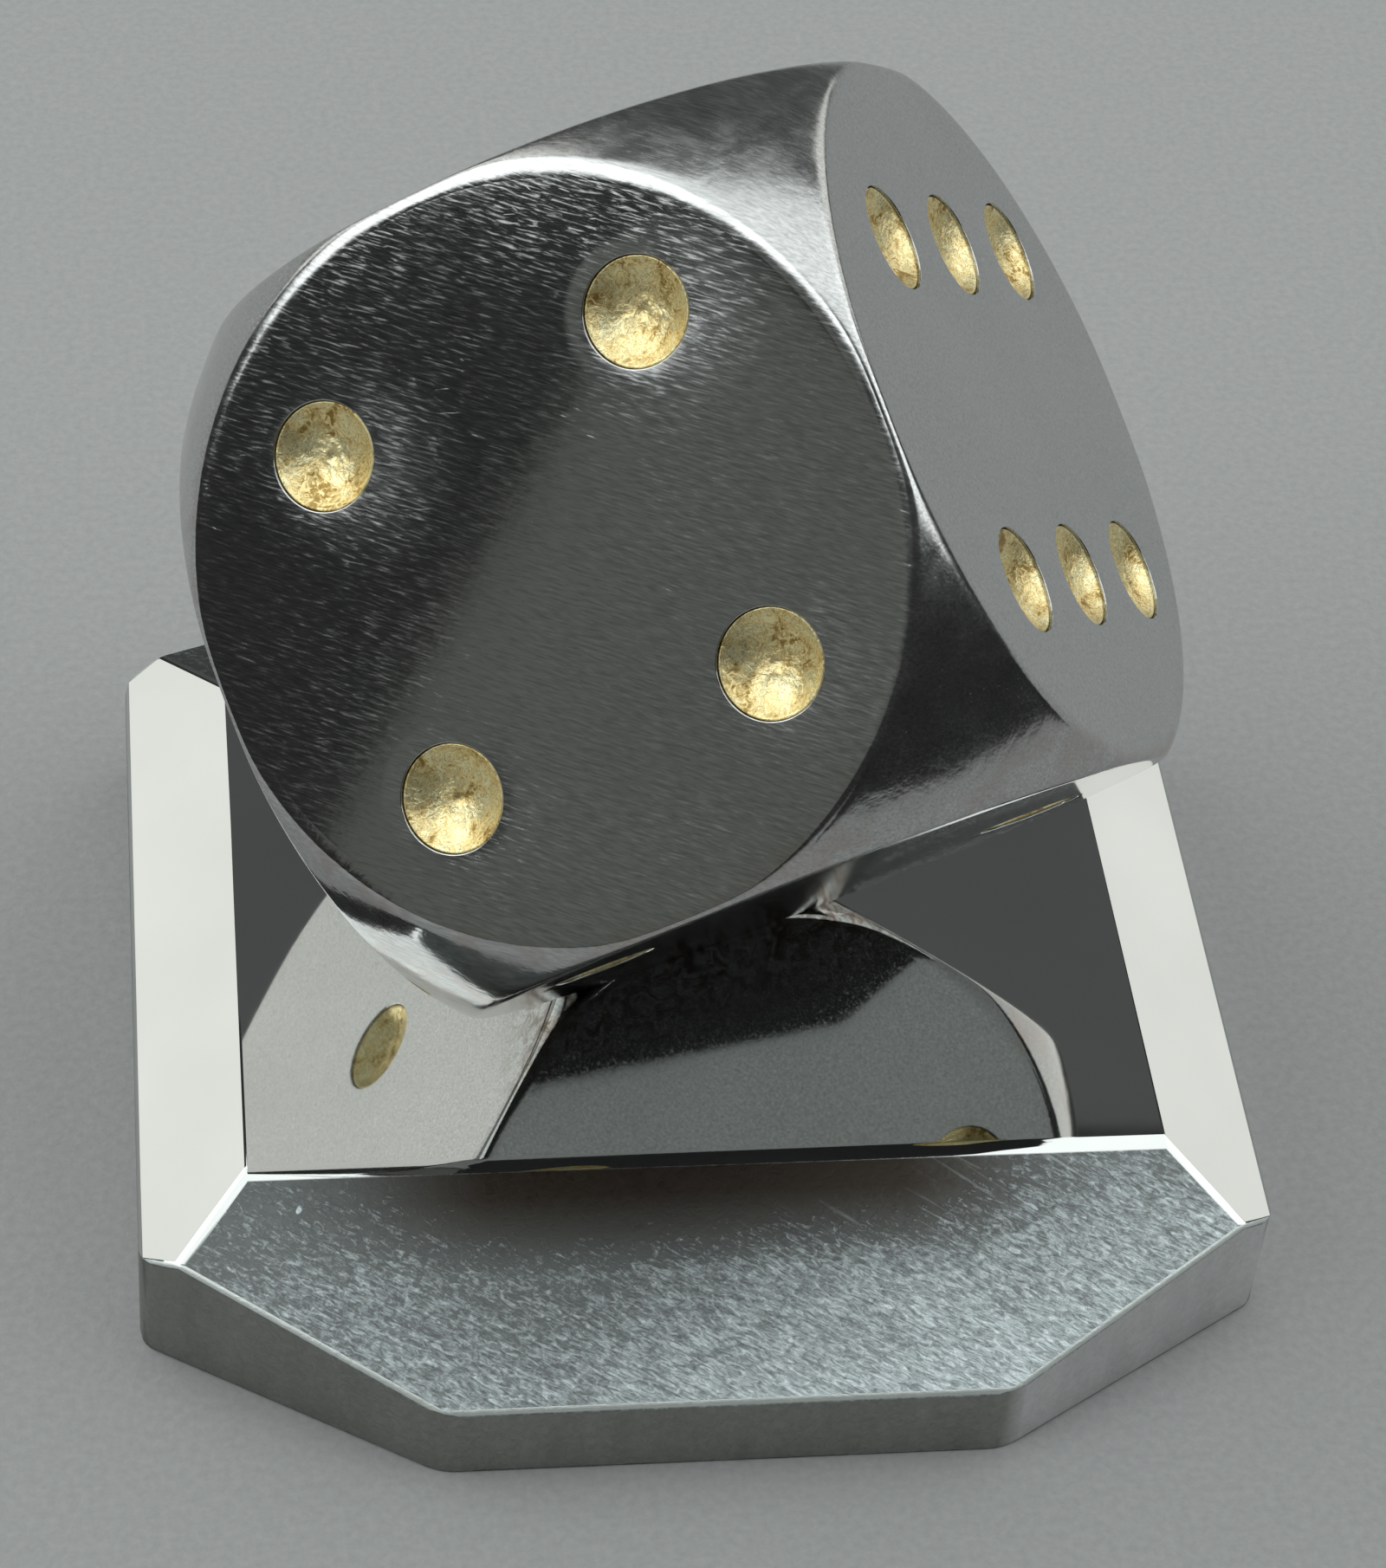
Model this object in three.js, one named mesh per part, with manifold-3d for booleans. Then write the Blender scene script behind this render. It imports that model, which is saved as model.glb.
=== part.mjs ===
// A polished metal die standing on one corner, screwed to a bevelled base.
// Units are millimetres, +Z is up and the origin is the middle of the base's underside.
import * as THREE from 'three';
import { mergeVertices } from 'three/addons/utils/BufferGeometryUtils.js';
import Module from 'manifold-3d';

const wasm = await Module();
wasm.setup();

// ---- Driving dimensions ----

// Base block: a nearly square footprint, a smaller top face, four bevels and four cut corners.
const BASE_WIDTH = 64;
const BASE_DEPTH = 65.2;
const BASE_HEIGHT = 10.4;
const TOP_WIDTH = 52;
const TOP_DEPTH = 38.6;
const SIDE_BEVEL_DROP = 2.9;
const FRONT_BEVEL_DROP = 5.1;
const CORNER_CUT_ALONG_FRONT = 16.2;
const CORNER_CUT_ALONG_SIDE = 9.7;

// Die: a cube rounded by a sphere, balanced on a corner that is ground flat. It stands a
// little to the left of the base's middle and a little behind it.
const DIE_EDGE = 40;
const DIE_SPHERE_RADIUS = 28.5;
const DIE_CENTRE_ABOVE_BASE = 27.1;
const DIE_X = -0.9;
const DIE_Y = 1.4;
const DIE_TURN = THREE.MathUtils.degToRad(-7);
const SPHERE_SEGMENTS = 72;

// Pips: shallow dished recesses, each lined with a thin gold-coloured inlay.
const PIP_RADIUS = 2.95;
const PIP_PITCH = 9.5;
const PIP_SEGMENTS = 24;
const SIX_SHIFT = 0.8;
const INLAY_RIM_DEPTH = 0.25;
const INLAY_CENTRE_DEPTH = 1.05;
const INLAY_THICKNESS = 0.4;
const GAP = 0.3;

// Fastener: one M5 socket-head screw with a washer, up through the base into the die.
const SCREW_RADIUS = 2.5;
const SCREW_LENGTH = 16;
const HEAD_RADIUS = 4.25;
const HEAD_HEIGHT = 5;
const HEX_ACROSS_FLATS = 4;
const HEX_DEPTH = 2.5;
const WASHER_RADIUS = 5;
const WASHER_THICKNESS = 1;
const COUNTERBORE_RADIUS = 5.5;
const HEAD_RECESS = 0.8;
const ROUND_SEGMENTS = 36;

// ---- Worked-out dimensions ----

const WASHER_BOTTOM = HEAD_RECESS + HEAD_HEIGHT;
const COUNTERBORE_TOP = WASHER_BOTTOM + WASHER_THICKNESS;
const SCREW_TIP = WASHER_BOTTOM + SCREW_LENGTH;
const CLEARANCE_RADIUS = SCREW_RADIUS + GAP;
const FOOT_BOTTOM = BASE_HEIGHT + GAP;
const DIE_CENTRE = new THREE.Vector3(DIE_X, DIE_Y, BASE_HEIGHT + DIE_CENTRE_ABOVE_BASE);
const UNDER_DIE = new THREE.Matrix4().makeTranslation(DIE_X, DIE_Y, 0);
const OVERSHOOT = 20;
const MERGE_DISTANCE = 1e-5;

// ---- Materials ----

function metal(name, color, roughness) {
  return new THREE.MeshStandardMaterial({ name, color, roughness, metalness: 1 });
}

const baseSteel = metal('base_steel', 0xb9bcbe, 0.14);
const dieSteel = metal('die_steel', 0x85898a, 0.2);
const pipGold = metal('pip_gold', 0xc9a55c, 0.5);
const screwSteel = metal('screw_steel', 0x2c2d30, 0.45);
const washerSteel = metal('washer_steel', 0x9da1a4, 0.35);

// ---- Solid modelling helpers ----

// A closed three.js geometry, moved by a matrix, as a solid for joins and cuts.
function solid(geometry, matrix = new THREE.Matrix4()) {
  const plain = new THREE.BufferGeometry();
  plain.setAttribute('position', geometry.getAttribute('position'));
  plain.setIndex(geometry.getIndex());
  const merged = mergeVertices(plain, MERGE_DISTANCE).applyMatrix4(matrix);
  return new wasm.Manifold(new wasm.Mesh({
    numProp: 3,
    vertProperties: new Float32Array(merged.getAttribute('position').array),
    triVerts: new Uint32Array(merged.getIndex().array),
  }));
}

function geometryOf(manifold) {
  const mesh = manifold.getMesh();
  const geometry = new THREE.BufferGeometry();
  geometry.setAttribute('position', new THREE.BufferAttribute(mesh.vertProperties, 3));
  geometry.setIndex(new THREE.BufferAttribute(mesh.triVerts, 1));
  geometry.computeVertexNormals();
  return geometry;
}

// An upright cylinder between two heights.
function post(radius, bottom, top, segments = ROUND_SEGMENTS) {
  const geometry = new THREE.CylinderGeometry(radius, radius, top - bottom, segments);
  geometry.rotateX(Math.PI / 2);
  geometry.translate(0, 0, (bottom + top) / 2);
  return geometry;
}

// A polygon pulled along Z from zero to the given height.
function prism(points, height) {
  const shape = new THREE.Shape(points.map(([x, y]) => new THREE.Vector2(x, y)));
  return new THREE.ExtrudeGeometry(shape, { depth: height, bevelEnabled: false });
}

// A closed profile of [radius, height] points turned around Z.
function turned(points, segments) {
  const profile = points.map(([radius, height]) => new THREE.Vector2(radius, height));
  const geometry = new THREE.LatheGeometry(profile, segments);
  geometry.rotateX(Math.PI / 2);
  return geometry;
}

// ---- Base block ----

// The footprint: a rectangle with each corner cut off on a slant.
function footprint() {
  const halfX = BASE_WIDTH / 2;
  const halfY = BASE_DEPTH / 2;
  const cutX = halfX - CORNER_CUT_ALONG_FRONT;
  const cutY = halfY - CORNER_CUT_ALONG_SIDE;
  return prism([
    [cutX, -halfY], [halfX, -cutY], [halfX, cutY], [cutX, halfY],
    [-cutX, halfY], [-halfX, cutY], [-halfX, -cutY], [-cutX, -halfY],
  ], BASE_HEIGHT + OVERSHOOT);
}

// A long pitched roof that holds one pair of bevels, cut off flat at the given height.
function roof(topHalf, outerHalf, drop, flatHeight) {
  const slope = drop / (outerHalf - topHalf);
  const flatHalf = topHalf - (flatHeight - BASE_HEIGHT) / slope;
  const eavesHalf = outerHalf + OVERSHOOT;
  const eavesHeight = BASE_HEIGHT - slope * (eavesHalf - topHalf);
  const geometry = prism([
    [-eavesHalf, -OVERSHOOT], [eavesHalf, -OVERSHOOT], [eavesHalf, eavesHeight],
    [flatHalf, flatHeight], [-flatHalf, flatHeight], [-eavesHalf, eavesHeight],
  ], 2 * eavesHalf);
  geometry.translate(0, 0, -eavesHalf);
  geometry.rotateX(Math.PI / 2);
  return geometry;
}

function baseGeometry() {
  const ridgeHeight = BASE_HEIGHT + FRONT_BEVEL_DROP;
  const sideBevels = roof(TOP_WIDTH / 2, BASE_WIDTH / 2, SIDE_BEVEL_DROP, BASE_HEIGHT);
  const frontBevels = roof(TOP_DEPTH / 2, BASE_DEPTH / 2, FRONT_BEVEL_DROP, ridgeHeight);
  const quarterTurn = new THREE.Matrix4().makeRotationZ(Math.PI / 2);
  const counterbore = solid(post(COUNTERBORE_RADIUS, -OVERSHOOT, COUNTERBORE_TOP), UNDER_DIE);
  const clearance = solid(post(CLEARANCE_RADIUS, -OVERSHOOT, BASE_HEIGHT + OVERSHOOT), UNDER_DIE);
  return geometryOf(solid(footprint())
    .intersect(solid(sideBevels))
    .intersect(solid(frontBevels, quarterTurn))
    .subtract(counterbore)
    .subtract(clearance));
}

// ---- Pips ----

// Points on the hollow from its middle out to a radius, at a depth below the die's face.
function dish(depthAtCentre, radius) {
  const rise = INLAY_CENTRE_DEPTH - INLAY_RIM_DEPTH;
  return [0, 0.6, 1].map((share) => [radius * share, rise * share * share - depthAtCentre]);
}

// The tool that cuts one recess: a dished floor, a straight wall and a lid above the face.
function recessCutter() {
  const floor = dish(INLAY_CENTRE_DEPTH + INLAY_THICKNESS + GAP, PIP_RADIUS);
  return turned([...floor, [PIP_RADIUS, OVERSHOOT / 4], [0, OVERSHOOT / 4]], PIP_SEGMENTS);
}

// The inlay: a thin dished disc that lies in the recess.
function inlayGeometry() {
  const underside = dish(INLAY_CENTRE_DEPTH + INLAY_THICKNESS, PIP_RADIUS - GAP);
  const face = dish(INLAY_CENTRE_DEPTH, PIP_RADIUS - GAP);
  return turned([...underside, ...face.reverse()], PIP_SEGMENTS);
}

const AXIS_X = new THREE.Vector3(1, 0, 0);
const AXIS_Y = new THREE.Vector3(0, 1, 0);
const AXIS_Z = new THREE.Vector3(0, 0, 1);
const RISING = [[-1, -1], [1, 1]];
const FALLING = [[-1, 1], [1, -1]];
const CORNERS = [...RISING, ...FALLING];
const MIDDLE = [[0, 0]];
const TWO_ROWS = [[-1, -1], [-1, 0], [-1, 1], [1, -1], [1, 0], [1, 1]];

// Opposite faces add up to seven. The pips are listed in steps of the pitch along u and v,
// and the six's pattern sits a little off the middle of its face.
const FACES = [
  { name: 'one', side: -1, normal: AXIS_X, u: AXIS_Y, v: AXIS_Z, pips: MIDDLE, shift: 0 },
  { name: 'two', side: -1, normal: AXIS_Y, u: AXIS_X, v: AXIS_Z, pips: FALLING, shift: 0 },
  { name: 'three', side: -1, normal: AXIS_Z, u: AXIS_X, v: AXIS_Y, pips: [...RISING, ...MIDDLE], shift: 0 },
  { name: 'four', side: 1, normal: AXIS_Z, u: AXIS_X, v: AXIS_Y, pips: CORNERS, shift: 0 },
  { name: 'five', side: 1, normal: AXIS_Y, u: AXIS_X, v: AXIS_Z, pips: [...CORNERS, ...MIDDLE], shift: 0 },
  { name: 'six', side: 1, normal: AXIS_X, u: AXIS_Y, v: AXIS_Z, pips: TWO_ROWS, shift: -SIX_SHIFT },
];

// The name and the place of each pip, with +Z of the place pointing out of the face.
function pipPlaces() {
  return FACES.flatMap((face) => face.pips.map(([u, v], index) => {
    const outward = face.normal.clone().multiplyScalar(face.side);
    const position = outward.clone().multiplyScalar(DIE_EDGE / 2)
      .addScaledVector(face.u, u * PIP_PITCH)
      .addScaledVector(face.v, v * PIP_PITCH + face.shift);
    const quaternion = new THREE.Quaternion().setFromUnitVectors(AXIS_Z, outward);
    return { name: `pip_${face.name}_${index + 1}`, position, quaternion };
  }));
}

// ---- Die ----

// Where one of the three upper faces looks: 35 degrees up, at the given turn around Z.
function faceDirection(turn) {
  const level = Math.sqrt(2 / 3);
  const rise = Math.sqrt(1 / 3);
  return new THREE.Vector3(level * Math.cos(turn), level * Math.sin(turn), rise);
}

// The die's own axes point out of its six, five and four faces; its long diagonal is upright.
function diePlace() {
  const third = (2 * Math.PI) / 3;
  const axes = [0, third, 2 * third].map((turn) => faceDirection(DIE_TURN + turn));
  return new THREE.Matrix4().makeBasis(...axes).setPosition(DIE_CENTRE);
}

function dieGeometry() {
  const intoDie = diePlace().invert();
  const cube = solid(new THREE.BoxGeometry(DIE_EDGE, DIE_EDGE, DIE_EDGE));
  const ball = solid(new THREE.SphereGeometry(DIE_SPHERE_RADIUS, SPHERE_SEGMENTS, SPHERE_SEGMENTS / 2));
  const groundOff = solid(post(DIE_EDGE, FOOT_BOTTOM - OVERSHOOT, FOOT_BOTTOM), intoDie);
  const holeTop = SCREW_TIP + 2;
  const holePlace = intoDie.clone().multiply(UNDER_DIE);
  const screwHole = solid(post(CLEARANCE_RADIUS, FOOT_BOTTOM - OVERSHOOT, holeTop), holePlace);
  let body = cube.intersect(ball).subtract(groundOff).subtract(screwHole);
  const cutter = recessCutter();
  const scale = new THREE.Vector3(1, 1, 1);
  for (const { position, quaternion } of pipPlaces()) {
    body = body.subtract(solid(cutter, new THREE.Matrix4().compose(position, quaternion, scale)));
  }
  return geometryOf(body);
}

// ---- Fastener ----

function screwGeometry() {
  const edge = 0.4;
  const outline = turned([
    [0, HEAD_RECESS],
    [HEAD_RADIUS - edge, HEAD_RECESS],
    [HEAD_RADIUS, HEAD_RECESS + edge],
    [HEAD_RADIUS, WASHER_BOTTOM],
    [SCREW_RADIUS, WASHER_BOTTOM],
    [SCREW_RADIUS, SCREW_TIP - 2 * edge],
    [SCREW_RADIUS - 2 * edge, SCREW_TIP],
    [0, SCREW_TIP],
  ], ROUND_SEGMENTS);
  const hexRadius = HEX_ACROSS_FLATS / Math.sqrt(3);
  const hex = post(hexRadius, HEAD_RECESS - OVERSHOOT, HEAD_RECESS + HEX_DEPTH, 6);
  return geometryOf(solid(outline).subtract(solid(hex)));
}

function washerGeometry() {
  return turned([
    [CLEARANCE_RADIUS, WASHER_BOTTOM],
    [WASHER_RADIUS, WASHER_BOTTOM],
    [WASHER_RADIUS, COUNTERBORE_TOP],
    [CLEARANCE_RADIUS, COUNTERBORE_TOP],
    [CLEARANCE_RADIUS, WASHER_BOTTOM],
  ], ROUND_SEGMENTS);
}

// ---- Assembly ----

function piece(name, geometry, material) {
  const mesh = new THREE.Mesh(geometry, material);
  mesh.name = name;
  return mesh;
}

function buildDie() {
  const die = new THREE.Group();
  diePlace().decompose(die.position, die.quaternion, die.scale);
  die.add(piece('die_body', dieGeometry(), dieSteel));
  const inlay = inlayGeometry();
  for (const { name, position, quaternion } of pipPlaces()) {
    const pip = piece(name, inlay, pipGold);
    pip.position.copy(position);
    pip.quaternion.copy(quaternion);
    die.add(pip);
  }
  return die;
}

function buildFastener() {
  const fastener = new THREE.Group();
  fastener.position.set(DIE_X, DIE_Y, 0);
  fastener.add(piece('fixing_screw', screwGeometry(), screwSteel));
  fastener.add(piece('screw_washer', washerGeometry(), washerSteel));
  return fastener;
}

const group = new THREE.Group();
group.add(piece('base_block', baseGeometry(), baseSteel));
group.add(buildDie());
group.add(buildFastener());

export default group;
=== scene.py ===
"""A polished steel die with gold pips, standing on a corner on a bevelled steel base.

Lengths are in millimetres up to the point where a mesh is made; Blender's are in metres.
"""
import math

import bmesh
import bpy
import numpy as np
from mathutils import Matrix, Vector, noise


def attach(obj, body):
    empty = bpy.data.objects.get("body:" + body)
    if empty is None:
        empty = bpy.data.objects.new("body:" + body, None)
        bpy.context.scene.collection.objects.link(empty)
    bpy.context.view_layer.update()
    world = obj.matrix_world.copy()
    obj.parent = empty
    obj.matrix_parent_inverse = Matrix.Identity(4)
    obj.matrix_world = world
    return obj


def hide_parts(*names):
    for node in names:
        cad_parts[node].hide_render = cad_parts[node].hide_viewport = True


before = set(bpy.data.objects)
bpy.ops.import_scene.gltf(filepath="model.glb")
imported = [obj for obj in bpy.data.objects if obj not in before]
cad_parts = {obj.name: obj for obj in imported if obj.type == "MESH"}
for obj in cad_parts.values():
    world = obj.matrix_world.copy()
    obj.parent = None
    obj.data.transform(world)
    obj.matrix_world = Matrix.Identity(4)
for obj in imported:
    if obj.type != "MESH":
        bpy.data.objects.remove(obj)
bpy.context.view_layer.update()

MM = 0.001

# ---- Driving dimensions, as in the CAD ----

BASE_WIDTH = 64
BASE_DEPTH = 65.2
BASE_HEIGHT = 10.4
TOP_WIDTH = 52
TOP_DEPTH = 38.6
SIDE_BEVEL_DROP = 2.9
FRONT_BEVEL_DROP = 5.1
CORNER_CUT_ALONG_FRONT = 16.2
CORNER_CUT_ALONG_SIDE = 9.7
DIE_EDGE = 40
DIE_SPHERE_RADIUS = 28.5
DIE_CENTRE = Vector((-0.9, 1.4, 37.5))
DIE_TURN = math.radians(-7)
PIP_RADIUS = 2.95
PIP_PITCH = 9.5
SIX_SHIFT = 0.8
COUNTERBORE_TOP = 6.8
COUNTERBORE_RADIUS = 5.5
CLEARANCE_RADIUS = 2.8
SCREW_HOLE_TOP = 23.8

# ---- Finish of the real object: roundings and small hollows ----

HALF_EDGE = DIE_EDGE / 2
BALL_RADIUS = DIE_SPHERE_RADIUS - 0.15
# Each face is exactly flat within this radius. Outside it, flat and ball blend into a rim.
FLAT_RADIUS = 18.4
# Larger makes a narrower rim between flat and ball.
RIM_SHARPNESS = 7.0
# The die's foot stops this far above the base's top.
FOOT_GAP = 0.01
LIP_ROUNDING = 0.06
WALL_RADIUS = PIP_RADIUS - 0.06
# Polishing has left a shallow hollow round each pip.
PILLOW_RADIUS = 4.1
PILLOW_DEPTH = 0.02
RECESS_CHAMFER = 0.1
LINING_EDGE_DEPTH = 0.05
LINING_CENTRE_DEPTH = 1.15
LINING_STEEPNESS = 2.5
LINING_THICKNESS = 0.35
LINING_SLACK = 0.02
LINING_ROUNDING = 0.1
HAMMER_DENTS = 0.05
HAMMER_GRAIN = 0.018
DIMPLE_RADIUS = 0.4
DIMPLE_DEPTH = 0.12
COUNTERBORE_CHAMFER = 0.3

# How far each kind of edge of the base is rounded or faceted.
BOTTOM_ROUNDING = 0.25
TOP_FRONT_ROUNDING = 0.55
TOP_SIDE_ROUNDING = 0.14
HIP_ROUNDING = 0.42
UPRIGHT_ROUNDING = 1.1
RIM_ROUNDING = 0.3
# A smaller face of the base, in square millimetres, is part of a rounding and not a flat.
SMALLEST_FLAT = 8

# ---- How finely the meshes are divided ----

COLUMNS = 288
RIM_ROWS = 22
BALL_ROWS = 10
HOLE_COLUMNS = 96
PILLOW_ROWS = 8
LIP_ROWS = 6
LINING_COLUMNS = 72
LINING_ROWS = 26


# ---- Mesh helpers ----

def add_object(name, data):
    thing = bpy.data.objects.new(name, data)
    bpy.context.scene.collection.objects.link(thing)
    return thing


def finish_mesh(name, bm, matrix, material, normal_layer=None):
    """Turns a bmesh in millimetres into a piece in metres that rides on the one body.

    The normal layer holds each vertex's own normal. Faces marked plain don't use it.
    """
    bmesh.ops.transform(bm, matrix=Matrix.Scale(MM, 4) @ matrix, verts=bm.verts)
    mesh = bpy.data.meshes.new(name)
    normals = None
    if normal_layer is not None:
        turn = matrix.to_3x3().normalized()
        plain = bm.faces.layers.int.get("plain")
        normals = [
            (0.0, 0.0, 0.0) if face[plain] else tuple(turn @ loop.vert[normal_layer].normalized())
            for face in bm.faces for loop in face.loops
        ]
    for face in bm.faces:
        face.smooth = True
    bm.to_mesh(mesh)
    bm.free()
    if normals is not None:
        mesh.normals_split_custom_set(normals)
    piece = add_object(name, mesh)
    mesh.materials.append(material)
    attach(piece, "root")
    return piece


def ring(bm, radius, height, count, place, lift=None):
    """A closed ring of vertices around the local Z of a place."""
    verts = []
    for step in range(count):
        angle = 2 * math.pi * step / count
        z = height if lift is None else height + lift(radius, angle)
        point = Vector((radius * math.cos(angle), radius * math.sin(angle), z))
        verts.append(bm.verts.new(place @ point))
    return verts


def bridge(bm, first, second):
    """Quads between two closed rings of the same length."""
    count = len(first)
    faces = []
    for step in range(count):
        after = (step + 1) % count
        faces.append(bm.faces.new((first[step], first[after], second[after], second[step])))
    return faces


def ring_edges(bm, verts):
    """The edges of a closed ring, made where they don't exist yet."""
    pairs = zip(verts, verts[1:] + verts[:1])
    return [bm.edges.get(pair) or bm.edges.new(pair) for pair in pairs]


def cap(bm, verts, tip):
    """Triangles from a closed ring to one vertex."""
    pairs = zip(verts, verts[1:] + verts[:1])
    return [bm.faces.new((*pair, tip)) for pair in pairs]


def bisect(bm, point, normal, dist, **sides):
    """Cuts a whole mesh with a plane, and gives back the edges on the cut."""
    cut = bmesh.ops.bisect_plane(bm, geom=bm.verts[:] + bm.edges[:] + bm.faces[:], dist=dist,
                                 plane_co=point, plane_no=normal, **sides)
    return [item for item in cut["geom_cut"] if isinstance(item, bmesh.types.BMEdge)]


# ---- Die ----

def face_direction(turn):
    """An upward face's outward direction on a cube that stands on its corner."""
    level, rise = math.sqrt(2 / 3), math.sqrt(1 / 3)
    return Vector((level * math.cos(turn), level * math.sin(turn), rise))


def die_place():
    """From the die's own frame, whose axes point out of its upper faces, to the object's."""
    axes = [face_direction(DIE_TURN + i * 2 * math.pi / 3) for i in range(3)]
    place = Matrix(axes).transposed().to_4x4()
    place.translation = DIE_CENTRE
    return place


def blend_weights(points):
    """How far points stand out of the soft blend of flats and ball, and each one's share."""
    length = np.linalg.norm(points, axis=1, keepdims=True)
    heights = np.concatenate([points - HALF_EDGE, length - BALL_RADIUS], axis=1)
    highest = heights.max(axis=1, keepdims=True)
    powers = np.exp((heights - highest) * RIM_SHARPNESS)
    total = powers.sum(axis=1, keepdims=True)
    return highest[:, 0] + np.log(total[:, 0]) / RIM_SHARPNESS, powers / total


def rounded_surface(rays):
    """Points and normals of the rounded die along rays from its centre."""
    signs = np.where(rays < 0, -1.0, 1.0)
    rays = np.abs(rays)
    low = np.full(len(rays), HALF_EDGE * 0.9)
    high = np.full(len(rays), BALL_RADIUS * 1.1)
    for _ in range(48):
        middle = (low + high) / 2
        outside = blend_weights(rays * middle[:, None])[0] > 0
        high = np.where(outside, middle, high)
        low = np.where(outside, low, middle)
    points = rays * high[:, None]
    shares = blend_weights(points)[1]
    normals = shares[:, :3] + shares[:, 3:] * rays
    normals /= np.linalg.norm(normals, axis=1, keepdims=True)
    return points * signs, normals * signs


def face_grid():
    """Rows of points and normals from the edge of one flat out to its neighbours' regions."""
    angles = np.arange(COLUMNS) * 2 * math.pi / COLUMNS
    widest = np.maximum(np.abs(np.cos(angles)), np.abs(np.sin(angles)))
    first = np.full(COLUMNS, math.atan(FLAT_RADIUS / HALF_EDGE))
    last = np.arctan(1 / widest)
    rim_end = np.minimum(math.radians(47), first + 0.8 * (last - first))
    shares = [(first, rim_end, i / RIM_ROWS) for i in range(RIM_ROWS)]
    shares += [(rim_end, last, i / BALL_ROWS) for i in range(BALL_ROWS + 1)]
    rows = []
    for start, end, share in shares:
        lean = start + (end - start) * share
        rays = np.stack([np.cos(lean), np.sin(lean) * np.cos(angles),
                         np.sin(lean) * np.sin(angles)], axis=1)
        rows.append(rounded_surface(rays))
    points, normals = rows[0]
    points[:, 0] = HALF_EDGE
    normals[:] = (1, 0, 0)
    return rows


RISING = [(-1, -1), (1, 1)]
FALLING = [(-1, 1), (1, -1)]
MIDDLE = [(0, 0)]
TWO_ROWS = [(-1, -1), (-1, 0), (-1, 1), (1, -1), (1, 0), (1, 1)]
# name, side, axis of the normal, axis of u, axis of v, pips, shift along v
FACES = [
    ("one", -1, 0, 1, 2, MIDDLE, 0),
    ("two", -1, 1, 0, 2, FALLING, 0),
    ("three", -1, 2, 0, 1, RISING + MIDDLE, 0),
    ("four", 1, 2, 0, 1, RISING + FALLING, 0),
    ("five", 1, 1, 0, 2, RISING + FALLING + MIDDLE, 0),
    ("six", 1, 0, 1, 2, TWO_ROWS, -SIX_SHIFT),
]


def face_matrix(side, normal_axis, u_axis, v_axis):
    """Columns: the face's u, v and outward directions in the die's frame."""
    columns = [Vector(), Vector(), Vector()]
    columns[0][u_axis] = 1
    columns[1][v_axis] = 1
    columns[2][normal_axis] = side
    return Matrix(columns).transposed()


def pip_places(face):
    """The number and the place of each pip of a face, in the die's frame."""
    _, side, normal_axis, u_axis, v_axis, pips, shift = face
    turn = face_matrix(side, normal_axis, u_axis, v_axis)
    for index, (u, v) in enumerate(pips):
        place = turn.to_4x4()
        place.translation = turn @ Vector((u * PIP_PITCH, v * PIP_PITCH + shift, HALF_EDGE))
        yield index + 1, place


def lining_height(radius):
    """The gold lining's surface, below the face, at a distance from the pip's middle."""
    share = radius / WALL_RADIUS
    height = ((LINING_CENTRE_DEPTH - LINING_EDGE_DEPTH) * share ** LINING_STEEPNESS
              - LINING_CENTRE_DEPTH)
    if radius < DIMPLE_RADIUS:
        height -= DIMPLE_DEPTH * (1 - (radius / DIMPLE_RADIUS) ** 2)
    return height


def recess_profile():
    """Radius, height and the slant of the normal, from the untouched face to the floor."""
    inner = WALL_RADIUS + LIP_ROUNDING
    width = PILLOW_RADIUS - inner
    points = []
    for step in range(PILLOW_ROWS + 1):
        share = step / PILLOW_ROWS
        slope = 2 * PILLOW_DEPTH * share / width
        points.append((PILLOW_RADIUS - width * share, -PILLOW_DEPTH * share ** 2,
                       math.atan(slope)))
    start = points[-1][2]
    for step in range(1, LIP_ROWS + 1):
        lean = start + (math.pi / 2 - start) * step / LIP_ROWS
        points.append((inner - LIP_ROUNDING * (math.sin(lean) - math.sin(start)),
                       -PILLOW_DEPTH - LIP_ROUNDING * (math.cos(start) - math.cos(lean)), lean))
    wall = points[-1][0]
    bottom = -LINING_CENTRE_DEPTH - DIMPLE_DEPTH - LINING_THICKNESS - 2 * LINING_SLACK
    points.append((wall, bottom + RECESS_CHAMFER, math.pi / 2))
    points.append((wall - RECESS_CHAMFER, bottom, math.pi / 4))
    points.append((wall * 0.5, bottom, 0))
    return points


def build_recess(bm, layer, place):
    """Adds one recess and gives back the ring that joins it to the flat face."""
    rings = []
    turn = place.to_3x3()
    profile = recess_profile()
    for radius, height, lean in profile:
        verts = ring(bm, radius, height, HOLE_COLUMNS, place)
        for step, vert in enumerate(verts):
            angle = 2 * math.pi * step / HOLE_COLUMNS
            inward = Vector((-math.cos(angle), -math.sin(angle), 0))
            vert[layer] = turn @ (inward * math.sin(lean) + Vector((0, 0, math.cos(lean))))
        rings.append(verts)
    for first, second in zip(rings, rings[1:]):
        bridge(bm, first, second)
    tip = bm.verts.new(place @ Vector((0, 0, profile[-1][1])))
    tip[layer] = turn @ Vector((0, 0, 1))
    cap(bm, rings[-1], tip)
    return rings[0]


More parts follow.
